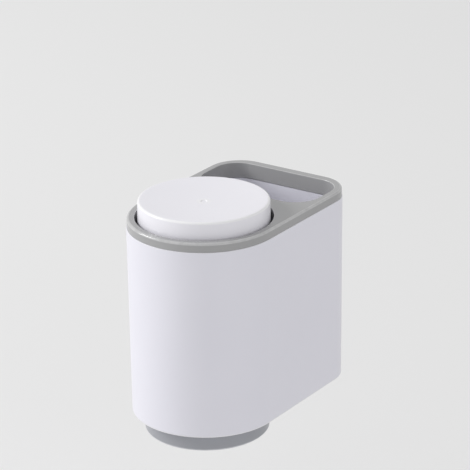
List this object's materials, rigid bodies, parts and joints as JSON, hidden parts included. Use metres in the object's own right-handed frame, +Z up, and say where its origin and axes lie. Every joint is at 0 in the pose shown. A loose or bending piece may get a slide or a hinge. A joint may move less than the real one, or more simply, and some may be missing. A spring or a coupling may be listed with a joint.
{
  "type": "toothbrush cup holder",
  "caption": "Wall-hung housing with a tumbler stored upside down over a lift-out drip cup and an open bay behind it for brushes and a tube.",
  "frame": {"origin": "middle of the adhesive film's back face, on the wall", "axes": "+Z up, +Y into the wall, so the holder hangs in front of it towards -Y, and +X to the right seen from the front"},
  "size_m": [0.08, 0.1233, 0.1267],
  "materials": {
    "white_abs": "satin gloss",
    "grey_abs": "satin gloss",
    "cool_grey_pp": "satin",
    "natural_abs": "satin",
    "clear_film": "clear gloss"
  },
  "bodies": {
    "wall_mount": {"adhesive_film": "clear_film", "hook_plate": "natural_abs"},
    "holder": {"outer_shell": "white_abs", "top_cover": "grey_abs", "divider_wall": "white_abs"},
    "drip_cup": {"drip_cup": "cool_grey_pp"},
    "tumbler": {"tumbler": "white_abs"}
  },
  "joints": [
    {"name": "holder_lift", "type": "slide", "parent": "wall_mount", "child": "holder", "axis": [0, 0, 1], "range_m": [0, 0.013]},
    {"name": "drip_cup_lift", "type": "slide", "parent": "holder", "child": "drip_cup", "axis": [0, 0, 1], "range_m": [0, 0.121]},
    {"name": "tumbler_lift", "type": "slide", "parent": "drip_cup", "child": "tumbler", "axis": [0, 0, 1], "range_m": [0, 0.105]}
  ]
}
